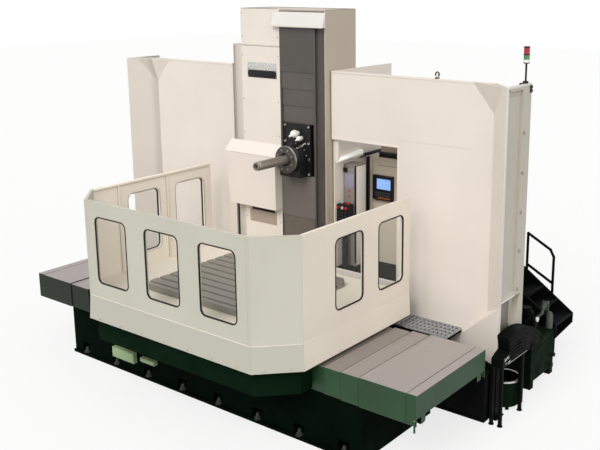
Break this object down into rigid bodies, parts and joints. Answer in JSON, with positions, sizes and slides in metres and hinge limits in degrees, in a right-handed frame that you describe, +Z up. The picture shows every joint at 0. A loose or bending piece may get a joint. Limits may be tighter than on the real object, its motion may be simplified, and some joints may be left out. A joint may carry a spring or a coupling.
{
  "type": "horizontal boring mill",
  "caption": "Table-type horizontal boring mill with a glazed guard round a rotary table, a travelling column, a tool-changer cover and a long boring spindle.",
  "frame": {"origin": "on the floor, under the crossing of the spindle's vertical plane and the table bed's centre line", "axes": "+X along the table travel to the operator's side, +Y from the table to the column, +Z up"},
  "size_m": [6.98, 5.216, 5.015],
  "materials": {
    "bed_green": "semi-gloss",
    "bolt_steel": "satin",
    "rail_steel": "ground",
    "cover_steel": "satin",
    "pale_green": "satin",
    "cream": "semi-gloss",
    "grey_cream": "satin",
    "dark_paint": "satin",
    "grating": "galvanised",
    "black_plastic": "matt",
    "screen": "gloss",
    "cabinet_grey": "satin",
    "lamp_white": "gloss",
    "red_plastic": "gloss",
    "grey_plastic": "gloss",
    "green_lens": "gloss",
    "red_lens": "gloss",
    "tank_green": "satin",
    "gasket": "matt",
    "pane": "clear",
    "table_iron": "ground",
    "casting": "painted",
    "slot_grey": "satin",
    "head_black": "semi-gloss",
    "sleeve_steel": "ground",
    "spindle_steel": "ground"
  },
  "bodies": {
    "base": {"x_bed": "bed_green", "anchor_bolts": "bolt_steel", "guideways": "rail_steel", "cover_rails": "rail_steel", "z_bed": "bed_green", "bed_terminal_boxes": "pale_green", "right_cover_1": "cover_steel", "left_cover_1": "cover_steel", "left_wall": "cream", "right_wall": "cream", "end_panels": "grey_cream", "wall_stands": "dark_paint", "foot_grating": "grating", "platform": "dark_paint", "stairs": "dark_paint", "handrail": "dark_paint", "control_cabinet": "cream", "display_unit": "black_plastic", "display_screen": "screen", "wiring_cabinet": "cabinet_grey", "work_lamp": "lamp_white", "operation_box": "black_plastic", "signal_pole": "bolt_steel", "green_lamp": "green_lens", "red_lamp": "red_lens", "coolant_tank": "tank_green", "coolant_pump": "dark_paint", "chip_chute": "dark_paint", "chip_drum": "tank_green"},
    "saddle": {"saddle": "bed_green", "right_cover_4": "cover_steel", "left_cover_4": "cover_steel", "guard_front_panel": "grey_cream", "guard_corners": "grey_cream", "guard_right_panel": "cream", "guard_left_panel": "cream", "guard_deck": "cream", "window_gaskets": "gasket", "window_panes": "pane"},
    "table": {"rotary_table": "table_iron"},
    "right_cover_outer": {"right_cover_2": "cover_steel"},
    "right_cover_inner": {"right_cover_3": "cover_steel"},
    "left_cover_outer": {"left_cover_2": "cover_steel"},
    "left_cover_inner": {"left_cover_3": "cover_steel"},
    "column": {"column_casting": "casting", "column_casing": "cream", "column_front_covers": "cream", "slot_frame": "slot_grey", "column_hood": "cream", "tool_changer_cover": "cream"},
    "head": {"headstock": "head_black", "spray_nozzle": "lamp_white"},
    "upper_plate_outer": {"upper_cover_2": "slot_grey"},
    "upper_plate_inner": {"upper_cover_3": "slot_grey"},
    "lower_plate_outer": {"lower_cover_2": "slot_grey"},
    "lower_plate_inner": {"lower_cover_3": "slot_grey"},
    "sleeve": {"milling_sleeve": "sleeve_steel"},
    "spindle": {"boring_spindle": "spindle_steel"},
    "stop": {"stop_button": "red_plastic"},
    "start": {"start_button": "grey_plastic"}
  },
  "joints": [
    {"name": "x_travel", "type": "slide", "parent": "base", "child": "saddle", "axis": [1, 0, 0], "range_m": [-1.15, 0.745]},
    {"name": "table_turn", "type": "hinge", "parent": "saddle", "child": "table", "pos_m": [0.203, 0, 1.25], "axis": [0, 0, 1], "continuous": true},
    {"name": "right_cover_outer_travel", "type": "slide", "parent": "base", "child": "right_cover_outer", "axis": [1, 0, 0], "range_m": [-0.3843, 0.2493]},
    {"name": "right_cover_inner_travel", "type": "slide", "parent": "base", "child": "right_cover_inner", "axis": [1, 0, 0], "range_m": [-0.7677, 0.4977]},
    {"name": "left_cover_outer_travel", "type": "slide", "parent": "base", "child": "left_cover_outer", "axis": [1, 0, 0], "range_m": [-0.3843, 0.2493]},
    {"name": "left_cover_inner_travel", "type": "slide", "parent": "base", "child": "left_cover_inner", "axis": [1, 0, 0], "range_m": [-0.7677, 0.4977]},
    {"name": "column_travel", "type": "slide", "parent": "base", "child": "column", "axis": [0, 1, 0], "range_m": [0, 1.4]},
    {"name": "head_travel", "type": "slide", "parent": "column", "child": "head", "axis": [0, 0, 1], "range_m": [-1.02, 0.69]},
    {"name": "upper_plate_outer_travel", "type": "slide", "parent": "column", "child": "upper_plate_outer", "axis": [0, 0, 1], "range_m": [-0.341, 0.231]},
    {"name": "upper_plate_inner_travel", "type": "slide", "parent": "column", "child": "upper_plate_inner", "axis": [0, 0, 1], "range_m": [-0.681, 0.461]},
    {"name": "lower_plate_outer_travel", "type": "slide", "parent": "column", "child": "lower_plate_outer", "axis": [0, 0, 1], "range_m": [-0.341, 0.231]},
    {"name": "lower_plate_inner_travel", "type": "slide", "parent": "column", "child": "lower_plate_inner", "axis": [0, 0, 1], "range_m": [-0.681, 0.461]},
    {"name": "sleeve_turn", "type": "hinge", "parent": "head", "child": "sleeve", "pos_m": [0, 1.056, 2.945], "axis": [0, -1, 0], "continuous": true},
    {"name": "spindle_feed", "type": "slide", "parent": "sleeve", "child": "spindle", "axis": [0, -1, 0], "range_m": [-0.56, 0.14]},
    {"name": "stop_press", "type": "slide", "parent": "base", "child": "stop", "axis": [0, 0, -1], "range_m": [0, 0.008], "stiffness_N_per_m": 1500, "springref_m": -0.004},
    {"name": "start_press", "type": "slide", "parent": "base", "child": "start", "axis": [0, 0, -1], "range_m": [0, 0.008], "stiffness_N_per_m": 1500, "springref_m": -0.004}
  ],
  "couplings": [
    {"joint": "right_cover_outer_travel", "follows": "x_travel", "ratio": 0.33333},
    {"joint": "right_cover_inner_travel", "follows": "x_travel", "ratio": 0.66667},
    {"joint": "left_cover_outer_travel", "follows": "x_travel", "ratio": 0.33333},
    {"joint": "left_cover_inner_travel", "follows": "x_travel", "ratio": 0.66667},
    {"joint": "upper_plate_outer_travel", "follows": "head_travel", "ratio": 0.33333},
    {"joint": "upper_plate_inner_travel", "follows": "head_travel", "ratio": 0.66667},
    {"joint": "lower_plate_outer_travel", "follows": "head_travel", "ratio": 0.33333},
    {"joint": "lower_plate_inner_travel", "follows": "head_travel", "ratio": 0.66667}
  ]
}
